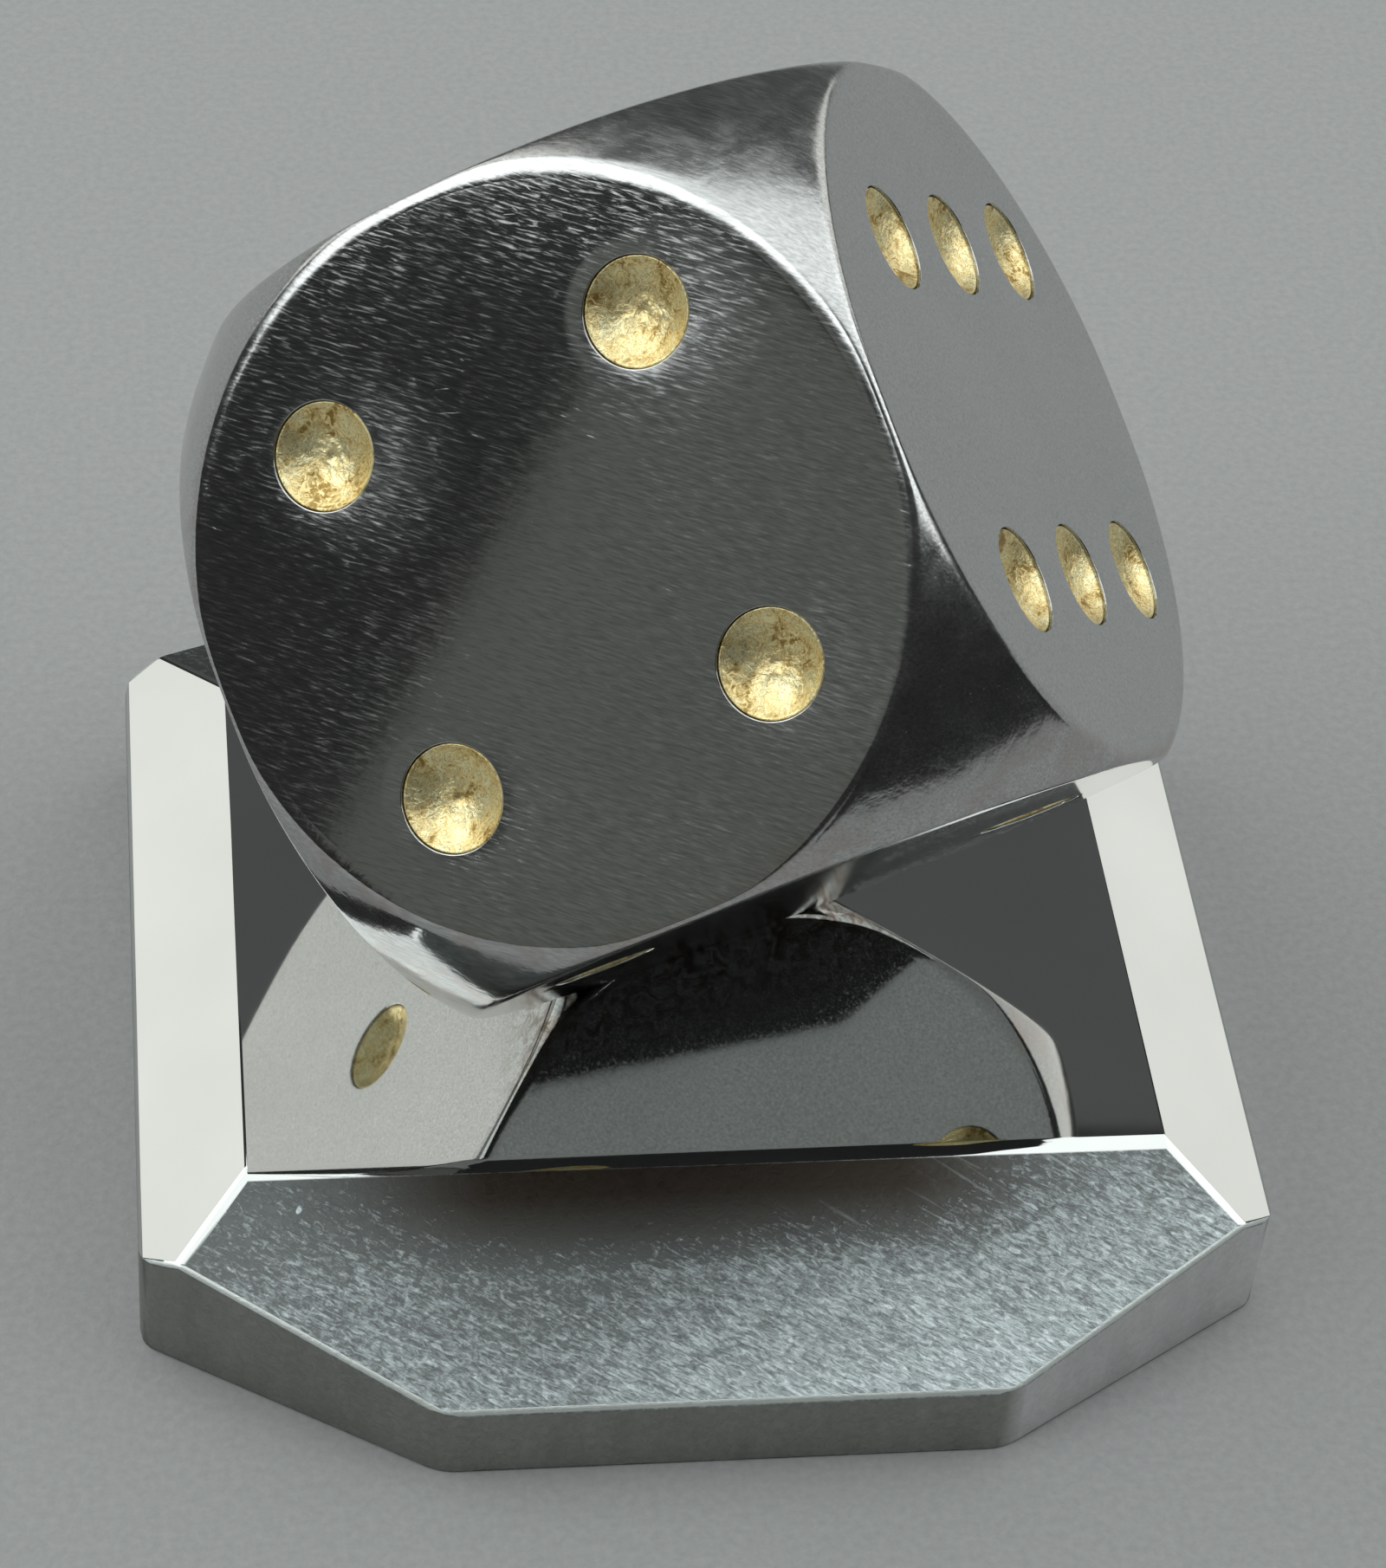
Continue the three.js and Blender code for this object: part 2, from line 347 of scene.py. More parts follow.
def build_die(material):
    """The die: six faces with their recesses, a flat foot and the screw's hole."""
    bm = bmesh.new()
    layer = bm.verts.layers.float_vector.new("normal")
    plain = bm.faces.layers.int.new("plain")
    rows = face_grid()
    hole_rings = {}
    for face in FACES:
        hole_rings[face[0]] = [build_recess(bm, layer, place) for _, place in pip_places(face)]
    outer_rings = {}
    grid_verts = []
    for name, side, normal_axis, u_axis, v_axis, _, _ in FACES:
        turn = np.array(face_matrix(side, normal_axis, u_axis, v_axis))
        turn = turn[:, [2, 0, 1]]
        rings = []
        for points, normals in rows:
            verts = []
            for point, normal in zip(points @ turn.T, normals @ turn.T):
                vert = bm.verts.new(point)
                vert[layer] = normal
                verts.append(vert)
            rings.append(verts)
            grid_verts += verts
        for first, second in zip(rings, rings[1:]):
            bridge(bm, first, second)
        outer_rings[name] = rings[0]
    for face in FACES:
        edges = ring_edges(bm, outer_rings[face[0]])
        for verts in hole_rings[face[0]]:
            edges += ring_edges(bm, verts)
        bmesh.ops.triangle_fill(bm, edges=edges, use_beauty=True, use_dissolve=False)
    bmesh.ops.remove_doubles(bm, verts=grid_verts, dist=1e-4)

    # The foot is cut flat, and the screw's hole goes up from it.
    up = Vector((1, 1, 1)).normalized()
    foot = BASE_HEIGHT + FOOT_GAP - DIE_CENTRE.z
    outline = bisect(bm, up * foot, up, 1e-4, clear_inner=True)
    bore = up.to_track_quat("Z", "Y").to_matrix().to_4x4()
    bore_top = SCREW_HOLE_TOP - DIE_CENTRE.z
    mouth = ring(bm, CLEARANCE_RADIUS, foot, HOLE_COLUMNS, bore)
    end = ring(bm, CLEARANCE_RADIUS, bore_top, HOLE_COLUMNS, bore)
    made = bridge(bm, mouth, end)
    made += cap(bm, end, bm.verts.new(bore @ Vector((0, 0, bore_top))))
    fill = bmesh.ops.triangle_fill(bm, edges=outline + ring_edges(bm, mouth),
                                   use_beauty=True, use_dissolve=False)
    made += [item for item in fill["geom"] if isinstance(item, bmesh.types.BMFace)]
    # Both have sharp edges and no normals of their own.
    for item in made:
        item[plain] = 1
    for edge in outline + ring_edges(bm, mouth) + ring_edges(bm, end):
        edge.smooth = False
    bmesh.ops.recalc_face_normals(bm, faces=bm.faces)
    piece = finish_mesh("die", bm, die_place(), material, layer)
    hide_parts("die_body")
    return piece


def build_lining(name, place, material, seed):
    """One gold lining: a dished disc, hammered a little, with a centre-drill dimple."""
    bm = bmesh.new()
    edge = WALL_RADIUS - LINING_SLACK
    shoulder = edge - LINING_ROUNDING
    bottom = -LINING_CENTRE_DEPTH - DIMPLE_DEPTH - LINING_THICKNESS
    offset = Vector((seed * 7.3, seed * 3.1, seed * 1.7))

    def hammering(radius, angle):
        """Uneven height, which fades out towards the edge."""
        spot = Vector((radius * math.cos(angle), radius * math.sin(angle), 0))
        fade = min(1.0, (edge - radius) / 0.4)
        dents = noise.noise(spot * 1.1 + offset) * HAMMER_DENTS
        grain = noise.noise(spot * 4.0 + offset) * HAMMER_GRAIN
        return (dents + grain) * fade

    def add_ring(radius, height, lift=None):
        return ring(bm, radius, height, LINING_COLUMNS, Matrix(), lift)

    rings = []
    for step in range(LINING_ROWS, 0, -1):
        radius = shoulder * step / LINING_ROWS
        rings.append(add_ring(radius, lining_height(radius), hammering))
    for lean in (30, 60, 90):
        radius = shoulder + LINING_ROUNDING * math.sin(math.radians(lean))
        drop = LINING_ROUNDING * (1 - math.cos(math.radians(lean)))
        rings.insert(0, add_ring(radius, lining_height(shoulder) - drop))
    for radius in (edge, edge * 0.5):
        rings.insert(0, add_ring(radius, bottom))
    for first, second in zip(rings, rings[1:]):
        bridge(bm, first, second)
    cap(bm, rings[-1], bm.verts.new((0, 0, lining_height(0))))
    cap(bm, rings[0], bm.verts.new((0, 0, bottom)))
    bmesh.ops.transform(bm, matrix=place, verts=bm.verts)
    bmesh.ops.recalc_face_normals(bm, faces=bm.faces)
    piece = finish_mesh("lining_" + name, bm, die_place(), material)
    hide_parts("pip_" + name)
    return piece


# ---- Base ----

def base_planes():
    """Outward normal and distance of each flat of the base block."""
    half_x, half_y = BASE_WIDTH / 2, BASE_DEPTH / 2
    planes = [(Vector((0, 0, 1)), BASE_HEIGHT), (Vector((0, 0, -1)), 0)]
    side = Vector((SIDE_BEVEL_DROP, 0, half_x - TOP_WIDTH / 2)).normalized()
    front = Vector((0, FRONT_BEVEL_DROP, half_y - TOP_DEPTH / 2)).normalized()
    corner = Vector((CORNER_CUT_ALONG_SIDE, CORNER_CUT_ALONG_FRONT, 0)).normalized()
    corner_reach = corner.dot(Vector((half_x, half_y - CORNER_CUT_ALONG_SIDE, 0)))
    for sx in (1, -1):
        planes.append((Vector((sx, 0, 0)), half_x))
        planes.append((Vector((side.x * sx, 0, side.z)),
                       side.dot(Vector((TOP_WIDTH / 2, 0, BASE_HEIGHT)))))
        for sy in (1, -1):
            planes.append((Vector((corner.x * sx, corner.y * sy, 0)), corner_reach))
    for sy in (1, -1):
        planes.append((Vector((0, sy, 0)), half_y))
        planes.append((Vector((0, front.y * sy, front.z)),
                       front.dot(Vector((0, TOP_DEPTH / 2, BASE_HEIGHT)))))
    return planes


def edge_rounding(edge):
    """How far an edge of the base is rounded, told by how its two faces lie."""
    if len(edge.link_faces) < 2:
        return 0
    lower, upper = sorted(face.normal.z for face in edge.link_faces)
    if lower < -0.5:
        return BOTTOM_ROUNDING
    if upper > 0.99:
        sideways = max(abs(face.normal.y) for face in edge.link_faces)
        return TOP_FRONT_ROUNDING if sideways > 0.1 else TOP_SIDE_ROUNDING
    if lower > 0.5:
        return HIP_ROUNDING
    if upper < 0.1:
        return UPRIGHT_ROUNDING
    return RIM_ROUNDING


def build_base(material):
    """The base block with its edges rounded, and the screw's holes up through it."""
    bm = bmesh.new()
    bmesh.ops.create_cube(bm, size=2 * BASE_WIDTH)
    planes = base_planes()
    for normal, reach in planes:
        edges = bisect(bm, normal * reach, normal, 1e-5, clear_outer=True)
        bmesh.ops.contextual_create(bm, geom=edges)
    bmesh.ops.recalc_face_normals(bm, faces=bm.faces)
    bm.normal_update()

    # One bevel modifier rounds every edge by its own share of the largest rounding.
    weight = bm.edges.layers.float.new("bevel_weight_edge")
    for edge in bm.edges:
        edge[weight] = edge_rounding(edge) / UPRIGHT_ROUNDING
    mesh = bpy.data.meshes.new("base_rough")
    bm.to_mesh(mesh)
    bm.free()
    rough = add_object("base_rough", mesh)
    modifier = rough.modifiers.new("edges", "BEVEL")
    modifier.limit_method = "WEIGHT"
    modifier.width = UPRIGHT_ROUNDING
    modifier.segments = 6
    modifier.offset_type = "OFFSET"
    modifier.use_clamp_overlap = False
    shaped = rough.evaluated_get(bpy.context.evaluated_depsgraph_get()).to_mesh()
    bm = bmesh.new()
    bm.from_mesh(shaped)
    bpy.data.objects.remove(rough)
    bpy.data.meshes.remove(mesh)

    # A vertex on a flat takes the flat's normal, so only the roundings are shaded round.
    layer = bm.verts.layers.float_vector.new("normal")
    plain = bm.faces.layers.int.new("plain")
    bmesh.ops.recalc_face_normals(bm, faces=bm.faces)
    bm.normal_update()
    flats = [normal for normal, _ in planes]
    for vert in bm.verts:
        best = max(vert.link_faces, key=lambda face: face.calc_area())
        is_flat = any(best.normal.dot(normal) > 0.99999 for normal in flats)
        is_flat = is_flat and best.calc_area() > SMALLEST_FLAT
        vert[layer] = best.normal if is_flat else vert.normal

    # The screw's holes go through the top and bottom faces, which are filled in round them.
    top = max(bm.faces, key=lambda face: face.calc_center_median().z + face.calc_area() * 1e-3)
    bottom = min(bm.faces, key=lambda face: face.calc_center_median().z - face.calc_area() * 1e-3)
    axis = Matrix.Translation((DIE_CENTRE.x, DIE_CENTRE.y, 0))
    levels = [(CLEARANCE_RADIUS, BASE_HEIGHT), (CLEARANCE_RADIUS, COUNTERBORE_TOP),
              (COUNTERBORE_RADIUS, COUNTERBORE_TOP), (COUNTERBORE_RADIUS, COUNTERBORE_CHAMFER),
              (COUNTERBORE_RADIUS + COUNTERBORE_CHAMFER, 0)]
    rings = [ring(bm, radius, height, HOLE_COLUMNS, axis) for radius, height in levels]
    for first, second in zip(rings, rings[1:]):
        for item in bridge(bm, first, second):
            item[plain] = 1
    for face, hole, up in ((top, rings[0], 1), (bottom, rings[-1], -1)):
        edges = face.edges[:]
        bm.faces.remove(face)
        for vert in hole:
            vert[layer] = Vector((0, 0, up))
        bmesh.ops.triangle_fill(bm, edges=edges + ring_edges(bm, hole),
                                use_beauty=True, use_dissolve=False)
    for verts in rings:
        for edge in ring_edges(bm, verts):
            edge.smooth = False
    bmesh.ops.recalc_face_normals(bm, faces=bm.faces)
    piece = finish_mesh("base", bm, Matrix(), material, layer)
    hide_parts("base_block")
    return piece


# ---- Materials ----

def rgba(colour):
    """A node's colour from a grey value or from three numbers."""
    if not hasattr(colour, "__len__"):
        colour = (colour, colour, colour)
    return (*colour, 1)


class Nodes:
    """A short way to write a material's node tree. Sizes in it are in metres."""

    def __init__(self, name):
        self.material = bpy.data.materials.new(name)
        self.material.use_nodes = True
        self.tree = self.material.node_tree
        self.shader = self.tree.nodes["Principled BSDF"]

    def add(self, kind, inputs=(), **settings):
        node = self.tree.nodes.new(kind)
        for key, value in settings.items():
            setattr(node, key, value)
        for key, value in dict(inputs).items():
            self.put(node.inputs[key], value)
        return node

    def put(self, socket, value):
        if hasattr(value, "links"):
            self.tree.links.new(value, socket)
        else:
            socket.default_value = value

    def coords(self):
        return self.add("ShaderNodeTexCoord").outputs["Object"]

    def die_coords(self):
        """Coordinates in the die's own frame, whose axes point out of its faces."""
        turned = die_place().to_euler()
        return self.add("ShaderNodeMapping", {
            "Vector": self.coords(), "Location": tuple(DIE_CENTRE * MM),
            "Rotation": tuple(turned)}, vector_type="TEXTURE").outputs[0]

    def split(self, vector):
        return self.add("ShaderNodeSeparateXYZ", {"Vector": vector}).outputs

    def length(self, vector):
        return self.add("ShaderNodeVectorMath", {0: vector}, operation="LENGTH").outputs["Value"]

    def stretched(self, vector, scale, turn=(0, 0, 0)):
        """Coordinates turned by some degrees and then scaled, for grain and scratches."""
        rotation = tuple(math.radians(angle) for angle in turn)
        turned = self.add("ShaderNodeMapping", {"Vector": vector, "Rotation": rotation})
        scaled = self.add("ShaderNodeMapping", {"Vector": turned.outputs[0], "Scale": scale})
        return scaled.outputs[0]

    def noise(self, vector, scale, detail=4.0, roughness=0.5, distortion=0.0):
        node = self.add("ShaderNodeTexNoise", {
            "Vector": vector, "Scale": scale, "Detail": detail, "Roughness": roughness,
            "Distortion": distortion})
        return node.outputs["Fac"]

    def ramp(self, value, *stops):
        """Stops are (position, grey value or colour)."""
        node = self.add("ShaderNodeValToRGB", {"Fac": value})
        elements = node.color_ramp.elements
        while len(elements) < len(stops):
            elements.new(0.5)
        for element, (position, colour) in zip(elements, stops):
            element.position = position
            element.color = rgba(colour)
        return node.outputs["Color"]

    def fade(self, value, start, end, first=0.0, last=1.0):
        """Goes evenly from first to last as the value goes from start to end."""
        node = self.add("ShaderNodeMapRange", {"Value": value, 1: start, 2: end, 3: first, 4: last})
        return node.outputs[0]

    def math(self, operation, first, second=0.0):
        return self.add("ShaderNodeMath", {0: first, 1: second}, operation=operation).outputs[0]

    def plus(self, first, second):
        return self.math("ADD", first, second)

    def minus(self, first, second):
        return self.math("SUBTRACT", first, second)

    def times(self, first, second):
        return self.math("MULTIPLY", first, second)

    def larger(self, first, second):
        return self.math("MAXIMUM", first, second)

    def magnitude(self, value):
        return self.math("ABSOLUTE", value)

    def mix(self, share, first, second):
        node = self.add("ShaderNodeMix", data_type="RGBA")
        self.put(node.inputs[0], share)
        for slot, value in ((6, first), (7, second)):
            self.put(node.inputs[slot], value if hasattr(value, "links") else rgba(value))
        return node.outputs[2]

    def bump(self, height, strength, distance, normal=None):
        inputs = {"Height": height, "Strength": strength, "Distance": distance}
        if normal is not None:
            inputs["Normal"] = normal
        return self.add("ShaderNodeBump", inputs).outputs[0]

    def finish(self, **sockets):
        """Fills the shader's sockets, such as base_color for Base Color."""
        for key, value in sockets.items():
            self.put(self.shader.inputs[key.replace("_", " ").title()], value)
        return self.material


# The turned surface begins and is complete at these distances from the die's centre.
TURNED_FROM, TURNED_TO = 27.7 * MM, 28.3 * MM
# On the four and the three, rubbing has left a matt tail this far beside each corner pip's
# place. It is even out to the first distance from its middle, and gone at the second.
TAIL_SHIFT_U, TAIL_SHIFT_V = 1.6 * MM, -1.2 * MM
TAIL_CORE, TAIL_END = 2.5 * MM, 6.0 * MM
# Fine strokes: the degrees that they are turned, scale along and across, and threshold.
STROKES = [(40, 600, 7000, 0.70), (58, 900, 7000, 0.72), (20, 500, 6000, 0.70)]


def die_strokes(n, place):
    """Short bright strokes in three directions, in patches."""
    strokes = None
    for turn, along, across, threshold in STROKES:
        grain = n.stretched(place, (along, across, across), (0, 0, turn))
        lines = n.ramp(n.noise(grain, 1, 2, 0.5, 0.2), (threshold, 0.0), (threshold + 0.08, 1.0))
        strokes = lines if strokes is None else n.larger(strokes, lines)
    return n.times(strokes, n.ramp(n.noise(place, 160, 3, 0.6), (0.46, 0.1), (0.62, 0.8)))


def die_tails(n, place):
    """Where the matt tails are, on the two faces across w, the four and the three."""
    u, v, w = n.split(place)
    from_pip = n.add("ShaderNodeCombineXYZ", {
        "X": n.minus(n.magnitude(n.minus(u, TAIL_SHIFT_U)), PIP_PITCH * MM),
        "Y": n.minus(n.magnitude(n.minus(v, TAIL_SHIFT_V)), PIP_PITCH * MM)})
    near = n.fade(n.length(from_pip.outputs[0]), TAIL_CORE, TAIL_END, 1.0, 0.0)
    on_face = n.ramp(n.times(n.magnitude(w), 1 / (HALF_EDGE * MM)), (0.985, 0.0), (0.995, 1.0))
    return n.times(near, on_face)


def die_material():
    """Brushed flats, a wavy turned surface between them, wear and tarnish, and painted shade near
    the foot.
    """
    n = Nodes("die_steel_polished")
    place = n.die_coords()
    level = n.split(n.coords())[2]
    brushed = n.noise(n.stretched(place, (900, 7500, 7500), (0, 0, 38)), 1, 4, 0.6, 0.4)
    strokes = die_strokes(n, place)
    turned = n.fade(n.length(place), TURNED_FROM, TURNED_TO)
    waves = n.noise(place, 420, 4, 0.55, 0.3)

    # Rubbing has left fine scratches, mostly on the flats, and the matt tails.
    worn = n.ramp(n.noise(place, 75, 3, 0.5), (0.38, 0.35), (0.62, 1.0))
    rubbed = n.times(n.ramp(brushed, (0.52, 0.0), (0.68, 1.0)), worn)
    rubbed = n.times(rubbed, n.minus(1.0, n.times(turned, 0.7)))
    rough = n.plus(n.times(brushed, 0.05), n.plus(0.03, n.times(strokes, 0.14)))
    rough = n.plus(rough, n.times(rubbed, 0.16))
    rough = n.plus(rough, n.times(die_tails(n, place), n.times(brushed, 0.16)))
    # The turned surface is less polished high up.
    high_up = n.ramp(level, (0.040, 0.10), (0.058, 0.36))
    rough = n.plus(rough, n.times(turned, n.times(waves, high_up)))

    cloud = n.noise(place, 90, 3, 0.55)
    tone = n.ramp(cloud, (0.3, (0.50, 0.52, 0.505)), (0.7, (0.58, 0.59, 0.58)))
    tone = n.mix(0.5, tone, n.ramp(brushed, (0.32, 0.30), (0.68, 0.80)))
    # The turned surface has painted shade near the foot, where it is darker, and brown tarnish
    # on its lower half.
    painted_foot_shade = n.times(turned, n.ramp(level, (0.016, 0.5), (0.026, 0.0)))
    tone = n.mix(painted_foot_shade, tone, (0.16, 0.15, 0.17))
    patchy = n.ramp(n.noise(place, 330, 5, 0.65, 0.6), (0.47, 0.0), (0.60, 0.5))
    lower_half = n.ramp(level, (0.042, 1.0), (0.050, 0.0))
    tone = n.mix(n.times(n.times(turned, lower_half), patchy), tone, (0.46, 0.37, 0.34))
    tone = n.mix(n.times(strokes, 0.4), tone, (0.80, 0.84, 0.82))
    # Dark brown patches darken the surface close to the foot.
    low_down = n.ramp(level, (0.0113, 1.0), (0.0138, 0.0))
    foot_patches = n.ramp(n.noise(place, 900, 6, 0.7, 1.2), (0.44, 0.0), (0.60, 1.0))
    tone = n.mix(n.times(low_down, foot_patches), tone, (0.15, 0.105, 0.075))

    wavy = n.bump(n.times(waves, n.plus(0.05, turned)), 0.5, 0.00007)
    scratched = n.plus(n.times(strokes, 0.8), n.times(brushed, 0.5))
    return n.finish(base_color=tone, metallic=1.0, roughness=rough,
                    normal=n.bump(scratched, 0.3, 0.000006, wavy))


def base_material():
    """Mirror top, polished side bevels, ground front and back bevels and dull upright sides."""
    n = Nodes("base_steel_polished")
    place = n.coords()
    x, y, _ = n.split(place)
    normal = n.split(n.add("ShaderNodeNewGeometry").outputs["Normal"])
    ground = n.ramp(n.magnitude(normal[1]), (0.30, 0.0), (0.345, 1.0))
    upright = n.ramp(n.magnitude(normal[2]), (0.03, 1.0), (0.25, 0.0))

    cloud = n.noise(place, 60, 3, 0.5)
    polished = n.ramp(cloud, (0.3, (0.66, 0.685, 0.665)), (0.7, (0.74, 0.76, 0.74)))
    polished_rough = n.plus(0.015, n.times(n.noise(place, 900, 5, 0.6), 0.03))

    # On the ground bevels, depth is 0 at the upper edge and 1 at the lower one.
    depth = n.math("DIVIDE", n.minus(n.magnitude(y), TOP_DEPTH / 2 * MM),
                   (BASE_DEPTH - TOP_DEPTH) / 2 * MM)
    scuffs = n.noise(n.stretched(place, (1100, 4200, 1100), (0, 0, 28)), 1, 6, 0.65, 1.2)
    blots = n.noise(place, 1900, 6, 0.7, 1.0)
    large = n.noise(place, 70, 3, 0.5)
    density = n.plus(n.times(depth, 0.17), n.plus(n.times(x, 1.6), n.times(large, 0.22)))
    mixed = n.plus(n.times(n.plus(scuffs, blots), 0.5), density)
    # Darker metal with fewer marks, under the middle of the upper edge, stands in for the
    # dark underside of the die that the real bevel reflects there.
    middle = n.ramp(n.magnitude(n.plus(x, 0.001)), (0.012, 1.0), (0.022, 0.0))
    shaded = n.times(middle, n.ramp(depth, (0.14, 1.0), (0.46, 0.0)))
    mixed = n.minus(mixed, n.times(shaded, 0.2))
    marks = n.ramp(mixed, (0.61, 0.0), (0.75, 0.55), (0.88, 1.0))
    # Long scratches run across the right half, and a few dings are pale spots, painted glints.
    right_half = n.ramp(n.plus(n.times(x, 20), n.times(large, 0.6)), (0.25, 0.0), (0.5, 1.0))
    long_scratch = n.noise(n.stretched(place, (230, 4600, 230), (0, 0, 34)), 1, 2, 0.5, 0.5)
    long_scratch = n.times(n.ramp(long_scratch, (0.60, 0.0), (0.72, 0.45)), right_half)
    long_scratch = n.times(long_scratch, n.minus(1.0, shaded))
    glints = n.ramp(n.noise(place, 800, 1, 0.4), (0.795, 0.0), (0.82, 1.0))
    marks = n.larger(n.larger(marks, glints), long_scratch)
    bare = n.mix(shaded, (0.125, 0.136, 0.132), (0.05, 0.041, 0.034))
    marked = n.ramp(scuffs, (0.4, (0.36, 0.41, 0.42)), (0.65, (0.66, 0.73, 0.74)))
    ground_tone = n.mix(marks, bare, marked)
    ground_rough = n.ramp(blots, (0.35, 0.28), (0.65, 0.46))
    # Their rounded edges are painted pale and rougher, a painted highlight where they catch light.
    rounded = n.ramp(normal[2], (0.2, 0.0), (0.35, 1.0), (0.84, 1.0), (0.90, 0.0))
    painted_edge_highlight = n.times(ground, rounded)
    ground_tone = n.mix(painted_edge_highlight, ground_tone, (0.92, 0.97, 0.94))
    ground_rough = n.mix(painted_edge_highlight, ground_rough, 0.55)

    # The upright sides are dull. Paler metal where they face +X stands in for light from there.
    streaks = n.noise(n.stretched(place, (500, 500, 120)), 1, 5, 0.6)
    dull = n.plus(n.times(streaks, 0.4), n.times(blots, 0.6))
    dull_tone = n.ramp(dull, (0.35, (0.28, 0.285, 0.265)), (0.65, (0.40, 0.405, 0.38)))
    bright_end = n.ramp(normal[0], (0.2, 0.0), (0.5, 1.0))
    dull_tone = n.mix(bright_end, dull_tone, n.ramp(dull, (0.35, 0.72), (0.65, 0.9)))

    tone = n.mix(upright, n.mix(ground, polished, ground_tone), dull_tone)
    rough = n.mix(upright, n.mix(ground, polished_rough, ground_rough), 0.42)
    relief = n.times(n.plus(ground, upright), n.plus(marks, blots))
    return n.finish(base_color=tone, metallic=1.0, roughness=rough,
                    normal=n.bump(relief, 0.5, 0.00003))


def gold_material():
    """Granular, crusty gold with brown patches and cracks."""
    n = Nodes("pip_gold_matt")
    place = n.coords()
    blotch = n.noise(place, 650, 5, 0.62, 0.8)
    crust = n.noise(place, 2600, 5, 0.6, 1.5)
    grains = n.plus(n.times(blotch, 0.6), n.times(crust, 0.4))
    tone = n.ramp(grains, (0.39, (0.36, 0.23, 0.06)), (0.46, (1.0, 0.80, 0.38)),
                  (0.58, (1.0, 0.92, 0.55)))
    cracks = n.ramp(n.magnitude(n.minus(crust, 0.5)), (0.0, 0.9), (0.03, 0.0))
    tone = n.mix(cracks, tone, (0.30, 0.19, 0.05))
    return n.finish(base_color=tone, metallic=0.75,
                    roughness=n.ramp(blotch, (0.3, 0.38), (0.7, 0.24)),
                    normal=n.bump(n.plus(crust, n.times(blotch, 1.5)), 0.7, 0.00006))


def plain_metal(name, scale, dark, light, smoothest):
    """A metal with a fine grain in its tone, roughness and surface."""
    n = Nodes(name)
    grain = n.noise(n.coords(), scale, 5, 0.6)
    return n.finish(base_color=n.ramp(grain, (0.3, dark), (0.75, light)), metallic=1.0,
                    roughness=n.plus(smoothest, n.times(grain, 0.2)),
                    normal=n.bump(grain, 0.3, 0.00003))


def screw_material():
    return plain_metal("screw_black_oxide", 1500, (0.018, 0.018, 0.02), (0.07, 0.07, 0.075), 0.35)


def washer_material():
    return plain_metal("washer_plain_steel", 1200, (0.40, 0.40, 0.41), (0.62, 0.62, 0.63), 0.28)


def floor_material():
    n = Nodes("floor_pale_grey")
    weave = n.noise(n.coords(), 1800, 4, 0.6)
    tone = n.ramp(weave, (0.3, (0.325, 0.33, 0.327)), (0.7, (0.375, 0.38, 0.377)))
    return n.finish(base_color=tone, roughness=0.9, normal=n.bump(weave, 0.3, 0.0002))


def card_material():
    n = Nodes("card_black")
    return n.finish(base_color=n.ramp(n.noise(n.coords(), 300), (0, 0.015), (1, 0.03)),
                    roughness=0.8)


# ---- Pieces ----

build_die(die_material())
gold = gold_material()
pips = [(face[0], index, place) for face in FACES for index, place in pip_places(face)]
for seed, (face_name, index, place) in enumerate(pips, 1):
    build_lining(f"{face_name}_{index}", place, gold, seed)
build_base(base_material())
for node, material in (("fixing_screw", screw_material()), ("screw_washer", washer_material())):
    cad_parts[node].material_slots[0].material = material


# ---- Lights, floor and camera ----

PANEL_TARGET = Vector((0, 0, 0.02))
WARM_WHITE = (1.0, 1.0, 0.96)
COOL_WHITE = (0.96, 1.0, 1.0)
GREEN_WHITE = (0.95, 1.0, 0.90)
# name, azimuth, elevation, distance, width, height, brightness, colour
PANELS = [
    ("back_left", -41, 24, 0.9, 0.62, 0.66, 1.0, WARM_WHITE),
    ("back_right", 45, 22, 0.9, 0.50, 0.56, 0.92, WARM_WHITE),
    ("back", 4, 26, 0.95, 0.62, 0.84, 0.055, COOL_WHITE),
    ("left", -138, 16, 0.9, 0.57, 0.46, 0.11, GREEN_WHITE),
]
CEILING_DISTANCE = 0.68
# name, middle and size along X, middle and size along Y, brightness
CEILING = [
    ("left", -1.0, 1.2, 0.0, 1.08, 2.2),
    ("middle", 0.0, 0.8, 0.10, 0.80, 1.3),
    ("right", 1.0, 1.2, 0.0, 1.08, 1.6),
]


def soft_panel(name, azimuth, elevation, distance, width, height, radiance, colour):
    """A rectangular soft light of a given brightness, which the polished steel mirrors.

    It faces the target from a direction, whose azimuth in degrees is from +Y to +X.
    """
    light = bpy.data.lights.new(name, "AREA")
    light.shape = "RECTANGLE"
    light.size = width
    light.size_y = height
    light.energy = radiance * math.pi * width * height
    light.color = colour
    a, e = math.radians(azimuth), math.radians(elevation)
    away = Vector((math.sin(a) * math.cos(e), math.cos(a) * math.cos(e), math.sin(e)))
    panel = add_object(name, light)
    panel.location = PANEL_TARGET + away * distance
    panel.rotation_mode = "QUATERNION"
    panel.rotation_quaternion = away.to_track_quat("Z", "Y")
    panel.visible_camera = False
    return panel


for name, *settings in PANELS:
    soft_panel("panel_" + name, *settings)
for name, x, width, y, depth, radiance in CEILING:
    strip = soft_panel("ceiling_" + name, 0, 90, CEILING_DISTANCE, width, depth, radiance,
                       COOL_WHITE)
    strip.location.x, strip.location.y = x, y

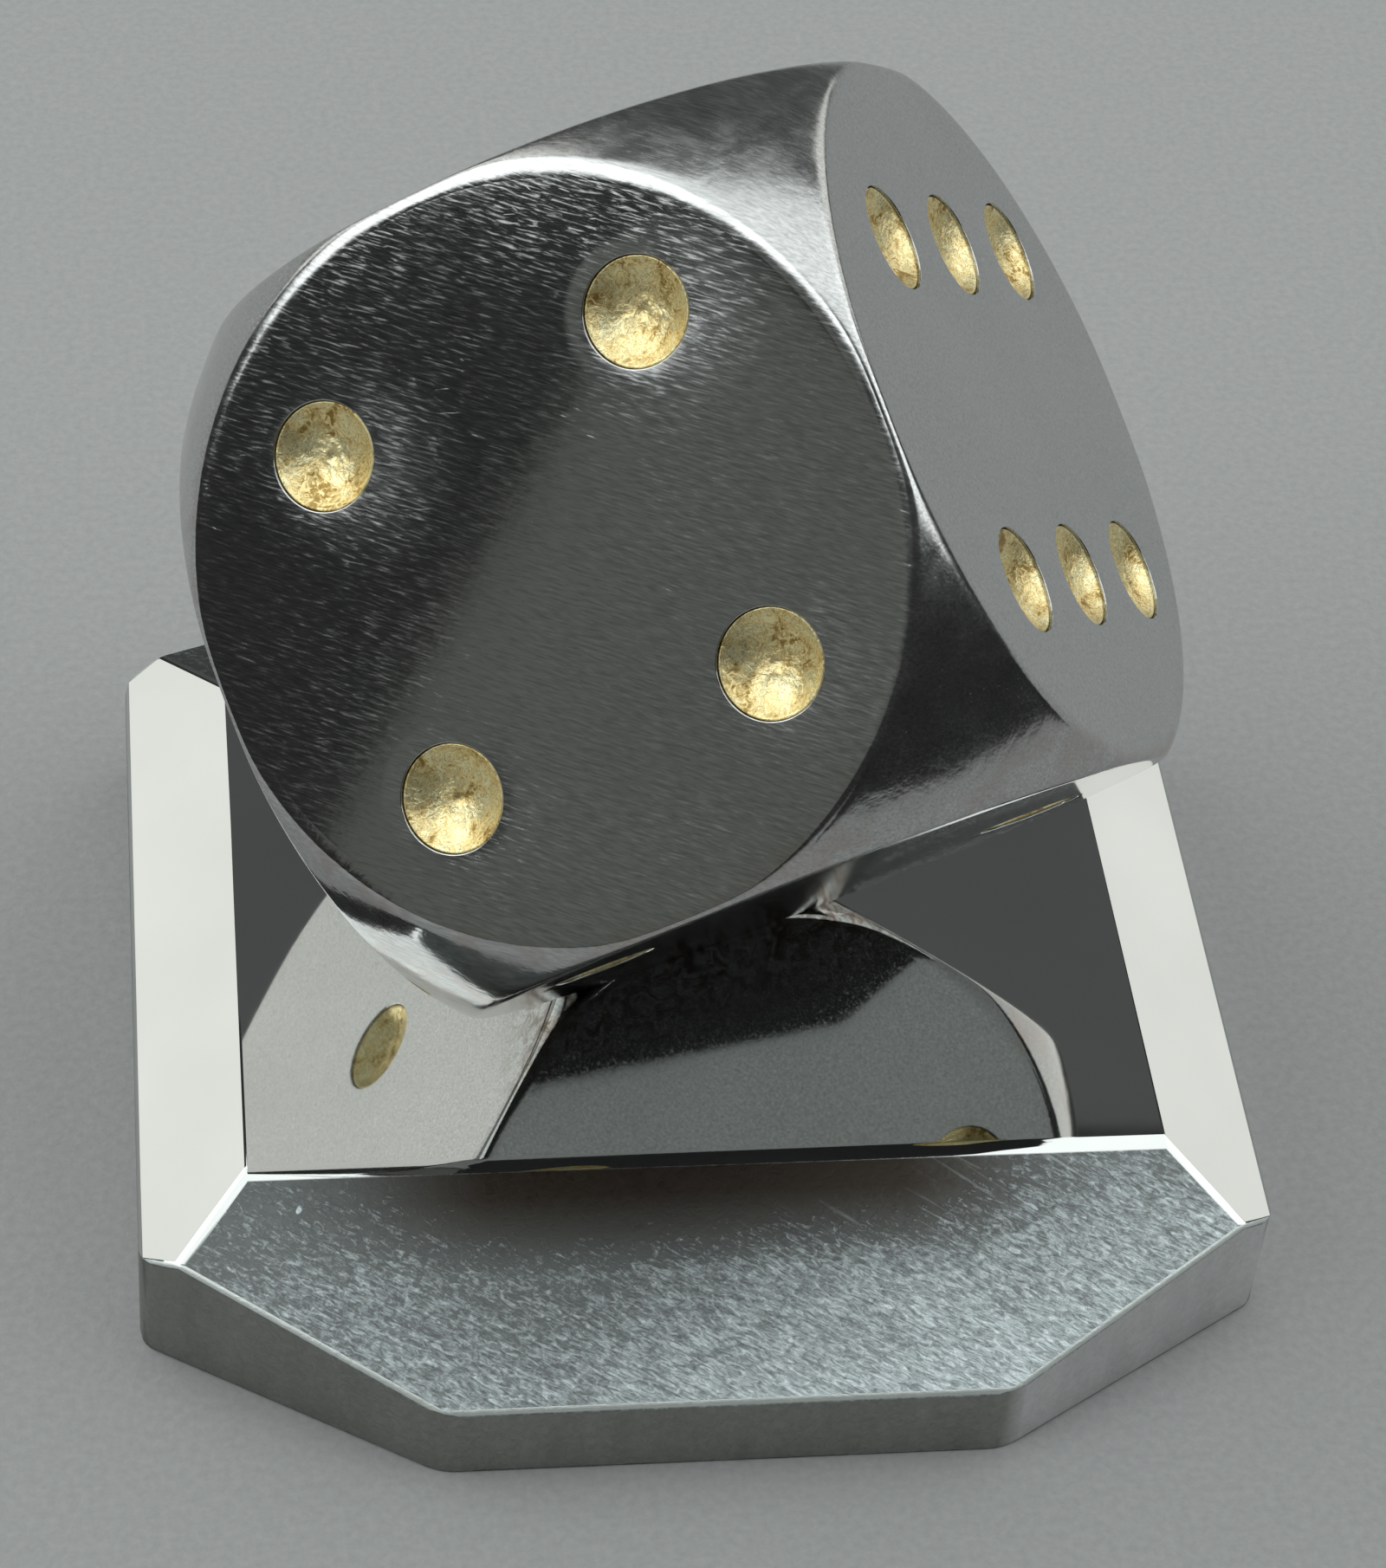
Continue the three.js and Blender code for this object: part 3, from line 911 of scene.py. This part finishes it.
# A black card at the front right, as a photographer uses to darken a reflection.
CARD_RADIUS, CARD_BOTTOM, CARD_TOP = 0.17, 0.0005, 0.085
CARD_AZIMUTH, CARD_STEP, CARD_STEPS = 98, 3, 24
card_points = []
for step in range(CARD_STEPS + 1):
    angle = math.radians(CARD_AZIMUTH + CARD_STEP * step)
    for height in (CARD_BOTTOM, CARD_TOP):
        card_points.append((CARD_RADIUS * math.sin(angle), CARD_RADIUS * math.cos(angle), height))
card_faces = [(2 * i, 2 * i + 2, 2 * i + 3, 2 * i + 1) for i in range(CARD_STEPS)]
card_mesh = bpy.data.meshes.new("black_card")
card_mesh.from_pydata(card_points, [], card_faces)
card_mesh.materials.append(card_material())
card = add_object("black_card", card_mesh)
card.visible_camera = card.visible_diffuse = card.visible_shadow = False

world = bpy.data.worlds.new("studio")
bpy.context.scene.world = world
world.use_nodes = True
background = world.node_tree.nodes["Background"]
background.inputs["Color"].default_value = (0.95, 1.0, 0.97, 1)
background.inputs["Strength"].default_value = 0.035

FLOOR_HALF = 1.5
floor_mesh = bpy.data.meshes.new("floor")
floor_mesh.from_pydata([(-FLOOR_HALF, -FLOOR_HALF, 0), (FLOOR_HALF, -FLOOR_HALF, 0),
                        (FLOOR_HALF, FLOOR_HALF, 0), (-FLOOR_HALF, FLOOR_HALF, 0)],
                       [], [(0, 1, 2, 3)])
floor_mesh.materials.append(floor_material())
floor = add_object("floor", floor_mesh)

# The camera looks down at about 45 degrees from a little to the left, rolled by a few degrees.
CAMERA_PLACE = Vector((-31.5, -179.9, 203.8)) * MM
CAMERA_AZIMUTH = math.radians(10.0)
CAMERA_DIP = math.radians(45.09)
CAMERA_ROLL = math.radians(5.69)
camera_data = bpy.data.cameras.new("camera")
camera_data.sensor_width = 36
camera_data.lens = 103.59
camera_data.clip_start = 0.01
camera = add_object("camera", camera_data)
forward = Vector((math.sin(CAMERA_AZIMUTH) * math.cos(CAMERA_DIP),
                  math.cos(CAMERA_AZIMUTH) * math.cos(CAMERA_DIP), -math.sin(CAMERA_DIP)))
level = Vector((math.cos(CAMERA_AZIMUTH), -math.sin(CAMERA_AZIMUTH), 0))
upward = level.cross(forward)
right = level * math.cos(CAMERA_ROLL) + upward * math.sin(CAMERA_ROLL)
camera_matrix = Matrix((right, right.cross(forward), -forward)).transposed().to_4x4()
camera_matrix.translation = CAMERA_PLACE
camera.matrix_world = camera_matrix
bpy.context.scene.camera = camera
bpy.context.scene.view_settings.view_transform = "Standard"
